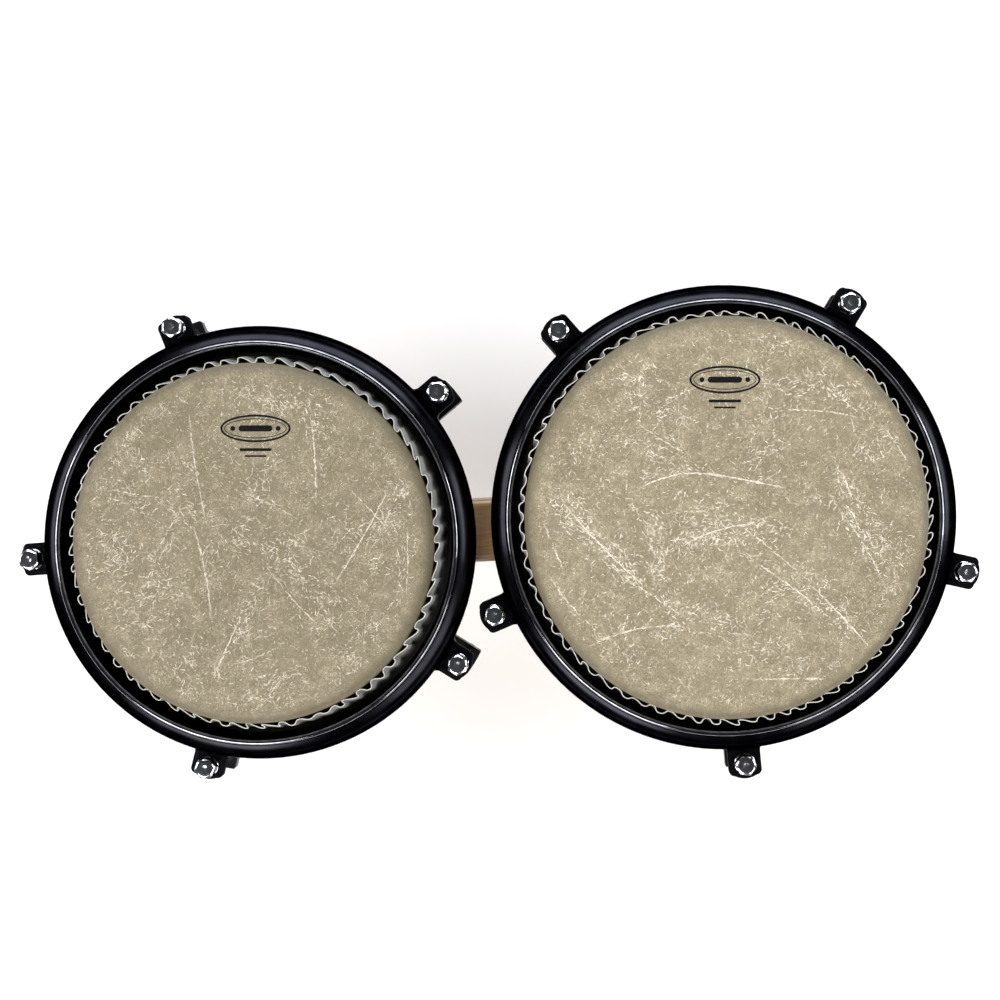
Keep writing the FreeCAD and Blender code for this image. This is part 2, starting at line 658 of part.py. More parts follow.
def drum_parts(drum):
    """Every part of one drum by name, at its place in the pair."""
    parts = {
        "shell": shell(drum),
        "head_film": head_film(drum),
        "head_collar": head_collar(drum),
        "flesh_hoop": flesh_hoop(drum),
        "rim": rim(drum),
        "tuning_washers": washers(drum),
        "lug_inserts": lug_inserts(drum),
        "lug_screws": lug_screws(drum),
        "lug_gaskets": lug_gaskets(drum),
        "foot_ring": foot_ring(drum),
        "block_pad": block_pad(drum),
    }
    for number, angle in enumerate(drum.lug_angles(), start=1):
        parts[f"tuning_bolt_{number}"] = tuning_bolt(drum, angle)
        parts[f"lug_{number}"] = lug(drum, angle)
    for shape in parts.values():
        shape.translate(Vector(drum.centre_x, 0, 0))
    return {f"{drum.name}_{name}": shape for name, shape in parts.items()}


def all_parts():
    parts = {**drum_parts(SMALL), **drum_parts(LARGE)}
    parts["centre_block"] = centre_block()
    parts["centre_bolts"] = centre_bolts()
    parts["centre_washers"] = centre_washers()
    parts["centre_nuts"] = centre_nuts()
    return parts


def main():
    os.makedirs("parts", exist_ok=True)
    parts = all_parts()
    box = Part.makeCompound(list(parts.values())).optimalBoundingBox(False, False)
    to_origin = Vector(-(box.XMin + box.XMax) / 2, -(box.YMin + box.YMax) / 2, -box.ZMin)
    for name, shape in parts.items():
        shape.translate(to_origin)
        shape.exportStep(f"parts/{name}.step")
    print(f"moved by {to_origin.x:.4f}, {to_origin.y:.4f}, {to_origin.z:.4f}")


main()
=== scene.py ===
"""Looks for the bongo drums: fibre-pattern heads with crimped tails, black hardware and wooden shells.

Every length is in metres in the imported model's own frame, and MM turns the sizes below into metres. The
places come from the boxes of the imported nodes.
"""

import math

import bpy
import numpy as np
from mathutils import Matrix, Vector


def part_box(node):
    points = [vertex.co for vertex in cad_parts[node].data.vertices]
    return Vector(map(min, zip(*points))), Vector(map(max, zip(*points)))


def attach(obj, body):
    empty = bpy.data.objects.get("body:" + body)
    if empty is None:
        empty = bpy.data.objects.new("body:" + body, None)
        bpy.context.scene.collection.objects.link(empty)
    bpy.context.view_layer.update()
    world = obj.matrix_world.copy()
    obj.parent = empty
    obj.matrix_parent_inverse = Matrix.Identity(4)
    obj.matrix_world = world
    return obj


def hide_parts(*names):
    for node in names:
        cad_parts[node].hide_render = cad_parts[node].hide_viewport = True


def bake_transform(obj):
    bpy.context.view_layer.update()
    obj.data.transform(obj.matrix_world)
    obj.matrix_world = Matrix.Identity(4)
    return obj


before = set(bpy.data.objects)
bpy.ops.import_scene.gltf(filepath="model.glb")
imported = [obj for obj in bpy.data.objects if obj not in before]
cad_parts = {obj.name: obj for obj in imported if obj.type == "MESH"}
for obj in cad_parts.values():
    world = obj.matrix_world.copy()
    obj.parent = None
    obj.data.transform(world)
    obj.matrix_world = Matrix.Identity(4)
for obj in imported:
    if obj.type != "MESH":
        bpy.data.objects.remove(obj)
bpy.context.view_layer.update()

MM = 0.001
BOLT_COUNT = 5
SEED = 20417

# Heads
FILM_THICKNESS = 0.4 * MM
SHOULDER_RADIUS = 6.4 * MM
COLLAR_UPRIGHT = 2.0 * MM
HOOP_CORNER = 1.4 * MM
HOOP_WIDTH = 5.4 * MM
WRAP_GAP = 0.1 * MM
WRAP_END_SHARE = 0.4
HEAD_COLUMNS = 288

# Rims
RIM_WIDTH = 12.4 * MM
RIM_GAP = 0.9 * MM
BEAD_RADIUS = 1.3 * MM
BEAD_SKIN = 0.05 * MM
BEAD_FACETS = 24

# Tails
TAIL_DROP = 10.0 * MM
TAIL_THICKNESS = 0.46 * MM
TAIL_PITCH = 9.9 * MM
TAIL_CLEARANCE = 0.45 * MM
TAIL_EDGE_WAVE = 0.9 * MM
CURL_CHANCE = 0.22
TAIL_STEPS = 22
TAIL_ROWS = 9

# Fibres and print
FIBRE_WIDTH = 0.27 * MM
FIBRE_RELIEF = 0.03 * MM
FIBRE_BURY = 0.02 * MM
FIBRE_STATIONS = 4
FELT_PER_MM2 = 0.30
SMALL_CLUMP_COUNT = 90
SMALL_CLUMP_FIBRES = 22
CLUMP_DENSITY = 1.8
STREAK_DENSITY = 1.5
HAIR_FIBRES = 4
HAIR_LENGTH = 5.5 * MM
FIBRE_SHADES = 8
PRINT_HEIGHT = 0.07 * MM
PRINT_TURN = math.radians(-3.07)

# Badge: the width and height of each band's outer and inner ovals, then how far up each bar lies, its width
# and its thickness. OVAL_COLUMNS and DOT_COLUMNS are how many sides stand for a curve.
BADGE_BANDS = (
    ((37.2 * MM, 14.6 * MM), (35.0 * MM, 12.4 * MM)),
    ((33.0 * MM, 10.4 * MM), (32.2 * MM, 9.6 * MM)),
)
BADGE_BARS = (
    (0.0, 18.0 * MM, 3.2 * MM),
    (-11.2 * MM, 17.0 * MM, 1.5 * MM),
    (-14.6 * MM, 11.5 * MM, 0.9 * MM),
)
BADGE_DOT = 2.6 * MM
BADGE_DOT_OFFSET = 12 * MM
OVAL_COLUMNS = 72
DOT_COLUMNS = 24

# Tuning bolts and their washers
BOLT_COLUMNS = 48
HEAD_FLATS = 10.0 * MM
HEAD_FACE_RADIUS = 4.35 * MM
HEAD_FACE_ROUND = 0.35 * MM
HEAD_FACE_DROP = 0.06 * MM
HEAD_CHAMFER_DEG = 30
HEAD_EDGE_BREAK = 0.06 * MM
HEAD_EDGE_DROP = 0.2 * MM
HEAD_FOOT_ROUND = 0.25 * MM
HEAD_SEAT_GAP = 0.04 * MM
DIMPLE_RADIUS = 1.6 * MM
DIMPLE_DEPTH = 0.42 * MM
WASHER_RADIUS = 5.8 * MM
WASHER_BORE_RADIUS = 3.3 * MM
WASHER_ROUND = 0.7 * MM
WASHER_COLUMNS = 64
SHANK_RADIUS = 3.0 * MM
THREAD_PITCH = 1.0 * MM
THREAD_DEPTH = 0.45 * MM
THREAD_LENGTH = 47.0 * MM
THREAD_ROWS = 6
THREAD_FADE_IN = 1.5
THREAD_FADE_OUT = 0.8
THREAD_TIP_CHAMFER = 0.9 * MM

# Finishes
STAVE_COUNT = 20
METAL_EDGE_RADIUS = 0.2 * MM

# Stage: each softbox's name, place, width, depth, watts and colour
FLOOR_HALF_SIZE = 1.25
FLOOR_GLOW = 0.12
ROOM_STRENGTH = 0.05
LIGHT_AIM = Vector((0, 0, 0.1))
SOFTBOXES = (
    ("key", (-0.9, -1.5, 1.5), 1.3, 1.0, 43, (1.0, 0.99, 0.98)),
    ("front", (1.2, -1.3, 1.3), 1.2, 1.0, 18, (1.0, 0.99, 0.98)),
    ("back", (0.2, 1.9, 1.25), 2.6, 0.9, 53, (0.93, 0.96, 1.0)),
    ("left", (-1.9, 0.3, 1.2), 1.0, 1.0, 23, (1.0, 1.0, 1.0)),
    ("right", (1.9, 0.2, 1.2), 1.0, 1.0, 23, (0.98, 0.99, 1.0)),
)

# Camera
CAMERA_PLACE = (0.0494, 0.0179, 1.100)
CAMERA_TURN_DEG = (-0.151, 1.167, -3.111)
SENSOR_WIDTH_MM = 36.0
LENS_MM = 64.075
CAMERA_SHIFT = (-0.05, 0.01)


class Drum:
    """Where one drum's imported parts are, and the choices that its looks need."""

    def __init__(self, name, film_shade, tail_lean, tail_swing, print_x, print_y, clumps, streaks, seed):
        self.name = name
        self.film_shade = film_shade
        self.tail_lean = tail_lean
        self.tail_swing = tail_swing
        self.print_x = print_x
        self.print_y = print_y
        self.clumps = clumps
        self.streaks = streaks
        self.random = np.random.default_rng(SEED + seed)
        low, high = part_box(f"{name}_head_film")
        self.x, self.y = (low.x + high.x) / 2, (low.y + high.y) / 2
        self.film_radius = (high.x - low.x) / 2
        self.top = high.z
        hoop_low, hoop_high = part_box(f"{name}_flesh_hoop")
        self.hoop_outer = (hoop_high.x - hoop_low.x) / 2
        self.hoop_inner = self.hoop_outer - HOOP_WIDTH
        self.hoop_bottom, self.hoop_top = hoop_low.z, hoop_high.z
        self.wrap_end = self.hoop_inner + HOOP_WIDTH * WRAP_END_SHARE
        self.tail_top = self.top - TAIL_DROP
        self.rim_outer = self.hoop_outer + RIM_WIDTH
        self.rim_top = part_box(f"{name}_rim")[1].z

    def node(self, part):
        return f"{self.name}_{part}"


# Clumps of fibres, listed one by one: across and up as shares of the film's radius, how far they reach along
# and across their direction in millimetres, that direction in degrees, and how many fibres they hold.
SMALL_CLUMPS = [
    (-0.62, 0.66, 10, 4, 75, 90), (-0.72, -0.05, 8, 5, 60, 150), (-0.56, -0.28, 12, 9, 20, 230),
    (-0.40, -0.66, 11, 5, 80, 130), (0.10, 0.80, 14, 4, -20, 130), (0.38, 0.66, 9, 4, -60, 80),
    (0.80, 0.14, 13, 3, 62, 150), (0.62, 0.02, 8, 5, 40, 70), (-0.10, -0.50, 13, 3, 62, 120),
    (0.05, -0.80, 12, 5, 30, 150), (0.20, -0.12, 11, 3, -42, 100), (-0.35, 0.22, 9, 6, -30, 80),
    (0.12, 0.28, 8, 5, 15, 60), (0.45, -0.42, 12, 7, -50, 100), (-0.72, 0.30, 9, 7, 30, 60),
    (0.82, -0.20, 11, 3, 84, 70), (-0.05, 0.02, 9, 4, -35, 60), (0.55, -0.66, 9, 5, 65, 60),
]
LARGE_CLUMPS = [
    (-0.58, -0.14, 19, 4, -44, 330), (-0.76, 0.08, 9, 5, -55, 120), (-0.36, -0.04, 12, 5, -52, 130),
    (0.00, -0.08, 18, 5, 6, 300), (-0.12, 0.06, 11, 6, 15, 110), (0.66, -0.10, 16, 6, -58, 260),
    (0.46, -0.44, 20, 4, -50, 190), (0.24, -0.40, 11, 7, 20, 130), (-0.40, 0.70, 11, 6, -25, 110),
    (-0.36, 0.54, 9, 6, 20, 90), (0.44, 0.62, 14, 4, -12, 130), (0.22, 0.34, 12, 6, 45, 120),
    (-0.26, 0.32, 12, 4, -20, 110), (0.60, 0.56, 10, 4, -48, 90), (0.72, 0.30, 9, 7, 60, 90),
    (-0.18, -0.50, 13, 5, -8, 120), (-0.55, -0.58, 12, 8, 50, 110), (0.60, 0.10, 7, 3, -70, 60),
    (0.30, 0.86, 8, 5, 10, 60), (-0.70, 0.36, 9, 6, 60, 60), (0.10, -0.66, 12, 6, -20, 80),
]
# Streaks, listed one by one: the middle in the same shares, then length in millimetres, direction and bend in
# degrees, and how many fibres lie along them.
SMALL_STREAKS = [
    (-0.28, 0.42, 58, -84, 9, 75), (-0.26, -0.14, 50, -82, -16, 90), (0.38, 0.44, 42, -90, -8, 80),
    (0.62, 0.00, 52, 57, 6, 110), (-0.46, 0.08, 34, 58, 10, 30), (0.66, 0.16, 26, -50, -10, 28),
    (0.20, -0.30, 40, -52, 12, 42), (0.10, 0.22, 36, -28, -12, 32), (-0.60, 0.30, 34, -12, 12, 26),
    (-0.16, -0.56, 34, 62, 0, 60), (0.86, -0.14, 34, 86, 8, 40), (0.02, -0.62, 30, 20, 22, 30),
]
LARGE_STREAKS = [
    (-0.22, 0.225, 46, 5, -46, 120), (0.10, 0.18, 40, -14, 0, 90), (-0.63, -0.10, 58, -49, 10, 150),
    (-0.42, -0.34, 64, -38, 4, 60), (0.30, -0.36, 66, -40, -10, 75), (0.54, -0.52, 44, -50, -4, 90),
    (-0.50, -0.53, 54, 10, -34, 80), (0.30, -0.81, 46, -3, -8, 60), (-0.80, -0.38, 34, -52, 20, 34),
    (-0.86, -0.10, 26, -70, 0, 30), (0.60, 0.12, 14, -72, 4, 30), (0.66, -0.16, 40, -62, -16, 60),
    (-0.05, -0.06, 40, 14, -30, 90), (0.48, 0.50, 50, -8, -24, 60), (0.20, -0.16, 44, -42, -6, 44),
    (-0.30, 0.40, 34, -35, 12, 30), (0.86, 0.30, 34, -60, -20, 24), (-0.20, 0.62, 30, 20, 10, 24),
]
SMALL = Drum("small", 0.86, -4.1 * MM, 1.30 * MM, 5.9 * MM, 60.4 * MM, SMALL_CLUMPS, SMALL_STREAKS, 1)
LARGE = Drum("large", 1.0, -1.7 * MM, 1.35 * MM, 2.8 * MM, 72.3 * MM, LARGE_CLUMPS, LARGE_STREAKS, 2)
DRUMS = (SMALL, LARGE)


# Materials

class Finish:
    """One material, with short ways to build its nodes. Its pattern is laid out in the model's own frame."""

    def __init__(self, name, roughness, metallic=0.0, coat=0.0, coat_roughness=0.1, specular=0.5):
        self.material = bpy.data.materials.new(name)
        self.material.use_nodes = True
        self.tree = self.material.node_tree
        self.shader = self.tree.nodes["Principled BSDF"]
        self.shader.inputs["Roughness"].default_value = roughness
        self.shader.inputs["Metallic"].default_value = metallic
        self.shader.inputs["Coat Weight"].default_value = coat
        self.shader.inputs["Coat Roughness"].default_value = coat_roughness
        self.shader.inputs["Specular IOR Level"].default_value = specular
        self.place = self.node("TexCoord").outputs["Object"]

    def node(self, kind, **settings):
        made = self.tree.nodes.new("ShaderNode" + kind)
        for key, value in settings.items():
            setattr(made, key, value)
        return made

    def put(self, socket, value):
        if isinstance(value, bpy.types.NodeSocket):
            self.tree.links.new(value, socket)
        else:
            socket.default_value = value

    def calc(self, operation, a, b=0.0):
        made = self.node("Math", operation=operation)
        self.put(made.inputs[0], a)
        self.put(made.inputs[1], b)
        return made.outputs[0]

    def span(self, value, low, high, to_low=0.0, to_high=1.0):
        """The value eased from low and high to to_low and to_high."""
        made = self.node("MapRange", interpolation_type="SMOOTHSTEP")
        for socket, item in zip(made.inputs, (value, low, high, to_low, to_high)):
            self.put(socket, item)
        return made.outputs[0]

    def stretched(self, x, y, z, place=None):
        """The place with each axis multiplied, so that a share under 1 draws the pattern out along it."""
        made = self.node("VectorMath", operation="MULTIPLY")
        self.put(made.inputs[0], place or self.place)
        self.put(made.inputs[1], (x, y, z))
        return made.outputs[0]

    def noise(self, size, detail=2.0, roughness=0.5, distortion=0.0, place=None):
        """Noise whose features are about size metres across."""
        made = self.node("TexNoise")
        self.put(made.inputs["Vector"], place or self.place)
        self.put(made.inputs["Scale"], 1 / size)
        self.put(made.inputs["Detail"], detail)
        self.put(made.inputs["Roughness"], roughness)
        self.put(made.inputs["Distortion"], distortion)
        return made.outputs["Fac"]

    def mix(self, share, a, b):
        made = self.node("Mix", data_type="RGBA")
        self.put(made.inputs["Factor"], share)
        self.put(made.inputs[6], a)
        self.put(made.inputs[7], b)
        return made.outputs[2]

    def colour(self, value):
        self.put(self.shader.inputs["Base Color"], value)

    def rough(self, value):
        self.put(self.shader.inputs["Roughness"], value)

    def bump(self, height, depth, strength, normal=None):
        made = self.node("Bump")
        made.inputs["Distance"].default_value = depth
        made.inputs["Strength"].default_value = strength
        self.put(made.inputs["Height"], height)
        if normal:
            self.put(made.inputs["Normal"], normal)
        self.put(self.shader.inputs["Normal"], made.outputs[0])

    def rounded_edges(self, radius):
        """A normal that rounds the mesh's edges, for bump to add its relief to."""
        made = self.node("Bevel", samples=4)
        made.inputs["Radius"].default_value = radius
        return made.outputs[0]

    def from_axis(self, drum):
        """(distance from the drum's axis, angle round it in turns)."""
        shifted = self.node("VectorMath", operation="SUBTRACT")
        self.put(shifted.inputs[0], self.place)
        self.put(shifted.inputs[1], (drum.x, drum.y, 0))
        flat = self.stretched(1, 1, 0, shifted.outputs[0])
        length = self.node("VectorMath", operation="LENGTH")
        self.put(length.inputs[0], flat)
        parts = self.node("SeparateXYZ")
        self.put(parts.inputs[0], flat)
        angle = self.calc("ARCTAN2", parts.outputs[1], parts.outputs[0])
        return length.outputs["Value"], self.calc("DIVIDE", angle, 2 * math.pi)


def scaled(colour, share):
    """A colour times a share, with its alpha at 1."""
    return tuple(c * share for c in colour[:3]) + (1,)


def threads(made, size, width):
    """Thin wandering lines, like fibres deep in the film."""
    level = made.calc("ABSOLUTE", made.calc("SUBTRACT", made.noise(size, 2, 0.55, 1.6), 0.5))
    return made.span(level, 0.0, width, 1.0, 0.0)


def film_finish(drum):
    """The tan film: cloudy ground, a felt of faint fibres, painted shade darkening its bend and painted shade
    turning it near black round the hoop.
    """
    made = Finish(f"{drum.name}_film", 0.5, specular=0.3)
    shade = drum.film_shade
    clouds = made.span(made.noise(30 * MM, 3, 0.6, 0.4), 0.32, 0.68)
    grain = made.span(made.noise(0.45 * MM, 2, 0.6), 0.40, 0.64)
    felt = made.span(made.noise(1.1 * MM, 3, 0.7, 0.8), 0.40, 0.66)
    patch = made.span(made.noise(8 * MM, 3, 0.6, 0.8), 0.40, 0.66, 0.2, 0.9)
    fibres_deep = made.calc("MULTIPLY", made.calc("MAXIMUM", threads(made, 1.2 * MM, 0.04),
                                                  threads(made, 2.4 * MM, 0.022)), patch)
    dark, light = scaled((0.130, 0.109, 0.066, 1), shade), scaled((0.174, 0.148, 0.093, 1), shade)
    ground = made.mix(clouds, dark, light)
    grained = made.mix(made.calc("MULTIPLY", grain, 0.62), ground, scaled((0.310, 0.264, 0.172, 1), shade))
    speckled = made.mix(made.calc("MULTIPLY", felt, 0.36), grained, scaled((0.370, 0.315, 0.205, 1), shade))
    veined = made.mix(fibres_deep, speckled, scaled((0.60, 0.515, 0.36, 1), shade))
    # Painted shade: over its last 7.5 mm the film is mixed towards dark brown, where its shoulder bends down
    # away from the light.
    radius = made.from_axis(drum)[0]
    edge = made.span(radius, drum.film_radius - 7.5 * MM, drum.film_radius - 0.5 * MM, 0.0, 0.70)
    surface = made.mix(edge, veined, (0.105, 0.084, 0.046, 1))
    # Painted shade: from a little above the hoop's top downwards the film turns nearly black, standing in for
    # the shadow under the rim.
    height = made.node("SeparateXYZ")
    made.put(height.inputs[0], made.place)
    painted_wrap_shade = made.span(height.outputs[2], drum.hoop_top + 1 * MM, drum.hoop_top + 6 * MM, 1.0, 0.0)
    made.colour(made.mix(painted_wrap_shade, surface, (0.020, 0.018, 0.014, 1)))
    made.rough(made.span(felt, 0.0, 1.0, 0.46, 0.58))
    made.bump(felt, 0.04 * MM, 0.5)
    return made.material


def fibre_finishes(drum):
    """Plain cream finishes for the fibres, from faint to bright."""
    faint, bright = (0.27, 0.228, 0.145), (1.0, 0.92, 0.79)
    made = []
    for k in range(FIBRE_SHADES):
        share = (k + 0.5) / FIBRE_SHADES
        shade = [drum.film_shade * (low + share * (high - low)) for low, high in zip(faint, bright)]
        finish = Finish(f"{drum.name}_fibre_{k + 1}", 0.55)
        finish.colour((*shade, 1))
        made.append(finish.material)
    return made


def print_finish():
    """Nearly black ink, a little paler where it has worn."""
    made = Finish("print", 0.5, specular=0.1)
    worn = made.span(made.noise(0.9 * MM, 3, 0.6), 0.35, 0.75)
    made.colour(made.mix(worn, (0.0045, 0.004, 0.005, 1), (0.013, 0.011, 0.011, 1)))
    return made.material


def tail_finish():
    """The film's crimped tail: greyer, with pale stress marks along its folds."""
    made = Finish("tail_film", 0.42)
    streaks = made.noise(5 * MM, 4, 0.6, 0.3, made.stretched(1, 1, 0.25))
    fine = made.noise(0.8 * MM, 3, 0.6)
    base = made.mix(made.span(streaks, 0.35, 0.68), (0.245, 0.243, 0.230, 1), (0.37, 0.368, 0.350, 1))
    made.colour(made.mix(made.span(fine, 0.5, 0.75, 0.0, 0.35), base, (0.47, 0.465, 0.44, 1)))
    made.bump(fine, 0.06 * MM, 0.5)
    return made.material


def cut_edge_finish():
    """The pale cut edge along the top of the tail."""
    made = Finish("tail_cut_edge", 0.6)
    rough_cut = made.noise(0.7 * MM, 3, 0.65)
    made.colour(made.mix(made.span(rough_cut, 0.3, 0.7), (0.72, 0.70, 0.63, 1), (0.92, 0.90, 0.84, 1)))
    made.bump(rough_cut, 0.08 * MM, 0.5)
    return made.material


def black_paint(name, roughness, grain, edge_radius):
    """Black paint over cast metal. Grain is the depth of the casting's texture under it."""
    made = Finish(name, roughness, specular=0.25)
    skin = made.noise(1.3 * MM, 3, 0.6)
    broad = made.noise(9 * MM, 2, 0.5)
    dust = made.span(made.noise(0.5 * MM, 2, 0.7), 0.66, 0.8, 0.0, 0.35)
    tone = made.mix(made.span(broad, 0.3, 0.7), (0.0022, 0.0022, 0.0030, 1), (0.0042, 0.0042, 0.0052, 1))
    made.colour(made.mix(dust, tone, (0.018, 0.018, 0.020, 1)))
    made.rough(made.span(broad, 0.3, 0.7, roughness - 0.05, roughness + 0.06))
    made.bump(skin, grain, 0.6, made.rounded_edges(edge_radius))
    return made.material


def rim_paint(drum):
    """Glossy black plating that stays dark at a glancing angle, coarser on the ears."""
    made = Finish(f"{drum.name}_rim_paint", 0.2, metallic=1.0)
    made.shader.inputs["Specular Tint"].default_value = (0.10, 0.10, 0.115, 1)
    ear = made.span(made.from_axis(drum)[0], drum.rim_outer + 0.5 * MM, drum.rim_outer + 2.5 * MM)
    skin = made.noise(1.2 * MM, 3, 0.62)
    broad = made.noise(14 * MM, 2, 0.5)
    tone = made.mix(made.span(broad, 0.3, 0.7), (0.010, 0.010, 0.0125, 1), (0.015, 0.015, 0.0185, 1))
    worn = made.calc("MULTIPLY", ear, made.span(skin, 0.54, 0.75, 0.0, 0.35))
    made.colour(made.mix(worn, tone, (0.060, 0.060, 0.066, 1)))
    made.rough(made.calc("ADD", made.span(broad, 0.3, 0.7, 0.19, 0.24), made.calc("MULTIPLY", ear, 0.18)))
    depth = made.calc("MULTIPLY", skin, made.calc("ADD", made.calc("MULTIPLY", ear, 0.9), 0.04))
    made.bump(depth, 0.25 * MM, 0.7, made.rounded_edges(0.3 * MM))
    return made.material


def bead_paint():
    """Black plating rubbed to a shine along the rim's bead."""
    made = Finish("bead_paint", 0.10, metallic=1.0)
    rubbed = made.span(made.noise(6 * MM, 3, 0.6), 0.35, 0.7)
    made.colour(made.mix(rubbed, (0.19, 0.19, 0.215, 1), (0.34, 0.34, 0.37, 1)))
    made.rough(made.span(rubbed, 0.0, 1.0, 0.11, 0.06))
    return made.material


def metal(name, tone, roughness, scuff):
    """Plated or plain metal with fine uneven polish and faint scuffs."""
    made = Finish(name, roughness, metallic=1.0)
    polish = made.noise(4 * MM, 3, 0.6)
    scratch = made.noise(0.6 * MM, 3, 0.7, 0.6, made.stretched(1, 1, 0.2))
    made.colour(made.mix(made.span(scratch, 0.35, 0.7), tone, scaled(tone, 0.78)))
    made.rough(made.span(polish, 0.3, 0.7, roughness, roughness + scuff))
    made.bump(scratch, 0.02 * MM, 0.4, made.rounded_edges(METAL_EDGE_RADIUS))
    return made.material


def rubber(name):
    """Matt black rubber with a fine moulded grain."""
    made = Finish(name, 0.75)
    grain = made.noise(0.7 * MM, 2, 0.6)
    worn = made.span(made.noise(7 * MM, 3, 0.6), 0.4, 0.7)
    made.colour(made.mix(worn, (0.012, 0.012, 0.012, 1), (0.026, 0.025, 0.024, 1)))
    made.bump(grain, 0.12 * MM, 0.6, made.rounded_edges(0.4 * MM))
    return made.material


def wood_grain(made, along, light, dark):
    """(colour, fine grain) of long grain with growth bands and open pores, drawn out along one axis."""
    squeeze = [1.0, 1.0, 1.0]
    squeeze[along] = 0.06
    place = made.stretched(*squeeze)
    bands = made.noise(5.5 * MM, 4, 0.55, 0.5, place)
    rings = made.calc("FRACT", made.calc("MULTIPLY", bands, 9.0))
    fine = made.noise(0.55 * MM, 3, 0.6, 0.0, place)
    pores = made.span(made.noise(0.35 * MM, 2, 0.6, 0.0, place), 0.60, 0.72)
    tone = made.mix(made.span(rings, 0.0, 1.0, 0.1, 0.75), light, dark)
    tone = made.mix(made.span(fine, 0.35, 0.7, 0.0, 0.45), tone, scaled(light, 0.82))
    return made.mix(made.calc("MULTIPLY", pores, 0.55), tone, scaled(dark, 0.45)), fine


def shell_finish(drum):
    """Light staves standing side by side round the shell, each with its own tone, under satin lacquer."""
    made = Finish(f"{drum.name}_shell_wood", 0.34, coat=0.5, coat_roughness=0.12)
    turns = made.from_axis(drum)[1]
    staves = made.calc("MULTIPLY", turns, STAVE_COUNT)
    number = made.calc("FLOOR", staves)
    across = made.calc("ABSOLUTE", made.calc("SUBTRACT", made.calc("FRACT", staves), 0.5))
    joint = made.span(across, 0.485, 0.5)
    own = made.node("TexWhiteNoise", noise_dimensions="1D")
    made.put(own.inputs["W"], number)
    shift = made.node("VectorMath", operation="ADD")
    made.put(shift.inputs[0], made.place)
    made.put(shift.inputs[1], own.outputs["Color"])
    made.place = shift.outputs[0]
    grain, fine = wood_grain(made, 2, (0.62, 0.40, 0.205, 1), (0.40, 0.225, 0.098, 1))
    toned = made.mix(made.calc("MULTIPLY", own.outputs["Value"], 0.42), grain, (0.36, 0.20, 0.09, 1))
    made.colour(made.mix(made.calc("MULTIPLY", joint, 0.7), toned, (0.12, 0.06, 0.03, 1)))
    made.bump(fine, 0.05 * MM, 0.35)
    return made.material


def block_finish():
    """The centre block's lacquered wood, with its grain running from drum to drum."""
    made = Finish("block_wood", 0.36, coat=0.45, coat_roughness=0.14)
    grain, fine = wood_grain(made, 0, (0.60, 0.385, 0.195, 1), (0.38, 0.215, 0.095, 1))
    made.colour(grain)
    made.bump(fine, 0.05 * MM, 0.35, made.rounded_edges(0.6 * MM))
    return made.material


def paint_node(name, material):
    """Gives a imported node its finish."""
    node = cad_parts[name]
    node.data.materials.clear()
    node.data.materials.append(material)


# Meshes

def mesh_object(name, points, faces, materials, smooth=True):
    """A linked object with one material slot for each of the materials."""
    mesh = bpy.data.meshes.new(name)
    mesh.from_pydata([tuple(p) for p in points], [], [tuple(int(i) for i in f) for f in faces])
    mesh.update()
    mesh.polygons.foreach_set("use_smooth", [smooth] * len(mesh.polygons))
    for material in materials:
        mesh.materials.append(material)
    made = bpy.data.objects.new(name, mesh)
    bpy.context.scene.collection.objects.link(made)
    return made


def sharpen(made, angle_deg=40):
    """Keeps shading breaks where faces meet at more than the angle."""
    made.data.set_sharp_from_angle(angle=math.radians(angle_deg))


def offset_path(path, distance):
    """A copy of a (radius, height) path moved to its left by distance."""
    moved = []
    for i, (r, z) in enumerate(path):
        before, after = path[max(i - 1, 0)], path[min(i + 1, len(path) - 1)]
        into = math.atan2(z - before[1], r - before[0]) if i else None
        away = math.atan2(after[1] - z, after[0] - r) if i < len(path) - 1 else None
        into = away if into is None else into
        away = into if away is None else away
        turn = math.atan2(math.sin(away - into), math.cos(away - into))
        normal = into + turn / 2 + math.pi / 2
        reach = distance / math.cos(turn / 2)
        moved.append((r + reach * math.cos(normal), z + reach * math.sin(normal)))
    return moved


def arc(centre_r, centre_z, radius, start_deg, end_deg, steps):
    """Points along part of a circle, both ends included."""
    angles = np.radians(np.linspace(start_deg, end_deg, steps + 1))
    return [(centre_r + radius * math.cos(a), centre_z + radius * math.sin(a)) for a in angles]


def lathe(outline, columns, x, y):
    """Points and faces of a closed outline of (radius, height) pairs turned about a vertical axis.

    The outline starts and ends on the axis.
    """
    angles = np.arange(columns) * 2 * math.pi / columns
    points = [(x, y, outline[0][1]), (x, y, outline[-1][1])]
    rows = outline[1:-1]
    for r, z in rows:
        points += [(x + r * math.cos(a), y + r * math.sin(a), z) for a in angles]
    faces = []
    for k in range(columns):
        after = (k + 1) % columns
        faces.append((0, 2 + k, 2 + after))
        for row in range(len(rows) - 1):
            start = 2 + row * columns
            faces.append((start + k, start + columns + k, start + columns + after, start + after))
        last = 2 + (len(rows) - 1) * columns
        faces.append((last + after, last + k, 1))
    return points, faces


def turned_ring(section, columns, x, y):
    """Points and faces of a closed section of (radius, height) pairs turned about a vertical axis."""
    angles = np.arange(columns) * 2 * math.pi / columns
    points = [(x + r * math.cos(a), y + r * math.sin(a), z) for a in angles for r, z in section]
    count = len(section)
    faces = []
    for k in range(columns):
        here, after = k * count, (k + 1) % columns * count
        for i in range(count):
            n = (i + 1) % count
            faces.append((here + i, after + i, after + n, here + n))
    return points, faces


